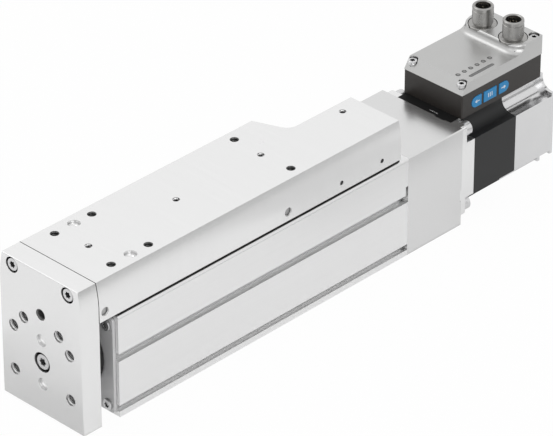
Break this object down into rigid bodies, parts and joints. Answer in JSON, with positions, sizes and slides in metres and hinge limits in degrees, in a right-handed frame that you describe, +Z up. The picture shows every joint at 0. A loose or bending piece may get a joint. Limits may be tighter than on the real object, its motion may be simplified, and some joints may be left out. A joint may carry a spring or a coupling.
{
  "type": "miniature linear slide",
  "caption": "Miniature electric linear slide: ball screw in a slotted body, guided slide with front yoke plate, and a motor with an electronics box on top.",
  "frame": {"origin": "centre line of the body's underside, at the front end of the profile body", "axes": "+Z up out of the slide's top face, +Y along the slide from the yoke plate towards the motor, +X across, towards the side that has the keys"},
  "size_m": [0.06, 0.3601, 0.0974],
  "materials": {
    "white_anodised": "fine satin anodised",
    "housing_aluminium": "fine satin anodised",
    "dark_cap": "matt dark grey",
    "buffer_rubber": "matt black",
    "bright_steel": "machined",
    "dark_steel": "oiled",
    "ground_steel": "ground and polished",
    "bronze": "turned",
    "guide_plastic": "matt",
    "seal_rubber": "matt black",
    "cast_aluminium": "bright machined casting",
    "lamination": "black",
    "copper": "enamelled wire",
    "magnet": "matt",
    "case_plastic": "dark brown-grey, fine texture",
    "lid_casting": "silver satin with fine grain",
    "board_green": "coated board",
    "key_blue": "matt blue",
    "window_clear": "translucent",
    "bar_blue": "translucent blue",
    "socket_nickel": "nickel plated",
    "socket_insert": "black",
    "gold_pins": "plated",
    "star_red": "elastomer",
    "coupling_alloy": "turned"
  },
  "bodies": {
    "base": {"profile_body": "white_anodised", "front_cap": "dark_cap", "front_cap_screws": "bright_steel", "rod_bush": "bronze", "rod_wiper": "seal_rubber", "end_buffer": "buffer_rubber", "guide_carriages": "bright_steel", "carriage_end_caps": "guide_plastic", "carriage_screws": "dark_steel", "coupling_housing": "housing_aluminium", "housing_screws": "bright_steel", "bearing_retainer": "bright_steel", "retainer_screws": "bright_steel", "motor_flange": "cast_aluminium", "motor_screws": "bright_steel", "stator": "lamination", "stator_coils": "copper", "motor_rear_cover": "cast_aluminium", "motor_tie_screws": "bright_steel", "bearing_outer_rings": "bright_steel", "encoder_board": "board_green", "electronics_case": "case_plastic", "case_gasket": "seal_rubber", "control_board": "board_green", "key_board": "board_green", "board_screws": "bright_steel", "electronics_lid": "lid_casting", "lid_screws": "bright_steel", "light_windows": "window_clear", "light_bar": "bar_blue", "socket_shells": "socket_nickel", "socket_inserts": "socket_insert", "socket_nuts": "bright_steel", "socket_pins": "gold_pins"},
    "slide": {"slide_plate": "white_anodised", "slide_side_plugs": "guide_plastic", "guide_rail": "ground_steel", "rail_screws": "dark_steel", "yoke_plate": "white_anodised", "yoke_screws": "bright_steel", "rod_screw": "bright_steel", "piston_rod": "ground_steel", "ball_nut": "bright_steel", "nut_screws": "dark_steel", "nut_guide_rings": "guide_plastic", "position_magnet": "magnet"},
    "screw": {"ball_screw": "ground_steel", "screw_tip_guide": "guide_plastic", "lock_nut": "dark_steel", "coupling_hub_front": "coupling_alloy", "coupling_hub_rear": "coupling_alloy", "coupling_star": "star_red", "motor_shaft": "ground_steel", "rotor": "dark_steel", "bearing_inner_rings": "bright_steel", "encoder_magnet": "magnet"},
    "left_key_cap": {"left_key": "key_blue"},
    "centre_key_cap": {"centre_key": "key_blue"},
    "right_key_cap": {"right_key": "key_blue"}
  },
  "joints": [
    {"name": "slide_travel", "type": "slide", "parent": "base", "child": "slide", "axis": [0, -1, 0], "range_m": [0, 0.1]},
    {"name": "screw_spin", "type": "hinge", "parent": "base", "child": "screw", "pos_m": [0, 0.2, 0.0316], "axis": [0, -1, 0], "range_deg": [0, 3600]},
    {"name": "left_key_press", "type": "slide", "parent": "base", "child": "left_key_cap", "axis": [-1, 0, 0], "range_m": [0, 0.0004], "stiffness_N_per_m": 400},
    {"name": "centre_key_press", "type": "slide", "parent": "base", "child": "centre_key_cap", "axis": [-1, 0, 0], "range_m": [0, 0.0004], "stiffness_N_per_m": 400},
    {"name": "right_key_press", "type": "slide", "parent": "base", "child": "right_key_cap", "axis": [-1, 0, 0], "range_m": [0, 0.0004], "stiffness_N_per_m": 400}
  ],
  "couplings": [
    {"joint": "screw_spin", "follows": "slide_travel", "rad_per_m": 628.32}
  ]
}
